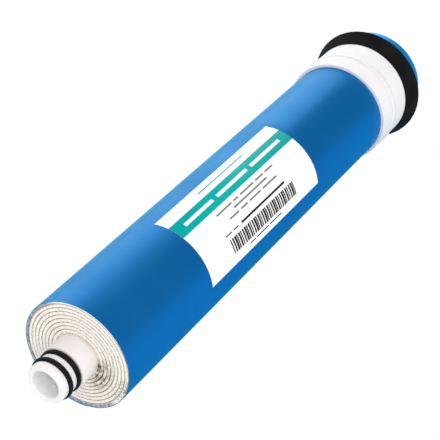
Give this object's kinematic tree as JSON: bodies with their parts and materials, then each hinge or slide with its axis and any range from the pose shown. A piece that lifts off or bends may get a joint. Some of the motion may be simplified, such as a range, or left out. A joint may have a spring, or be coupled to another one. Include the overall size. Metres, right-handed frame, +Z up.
{
  "type": "reverse-osmosis membrane element",
  "caption": "Spiral-wound reverse-osmosis membrane element: permeate tube with a ringed nose, wound leaf and spacer, blue wrap with label, collar and flared brine seal.",
  "frame": {"origin": "on the axis, in the roll's end face on the product side, where the product nose begins", "axes": "+X along the axis from the product end to the feed end, +Z up with the label on the upper -Y side"},
  "size_m": [0.2936, 0.0558, 0.0558],
  "materials": {
    "white_abs": "moulded, satin",
    "black_rubber": "smooth, slightly greased",
    "carrier_tan": "glue-soaked knit, tan",
    "leaf_tan": "trimmed, glue-soaked edge, tan",
    "spacer_white": "extruded net, natural white",
    "blue_tape": "vinyl tape, semi-gloss",
    "label_paper": "coated, printed with plain colour fields",
    "collar_white": "moulded, gloss",
    "seal_rubber": "moulded, matt"
  },
  "bodies": {
    "root": {"permeate_tube": "white_abs", "tube_plug": "white_abs", "front_o_ring": "black_rubber", "rear_o_ring": "black_rubber", "permeate_carrier": "carrier_tan", "membrane_leaf": "leaf_tan", "feed_spacer": "spacer_white", "outer_wrap": "blue_tape", "label": "label_paper", "seal_collar": "collar_white", "brine_seal": "seal_rubber"}
  },
  "joints": []
}
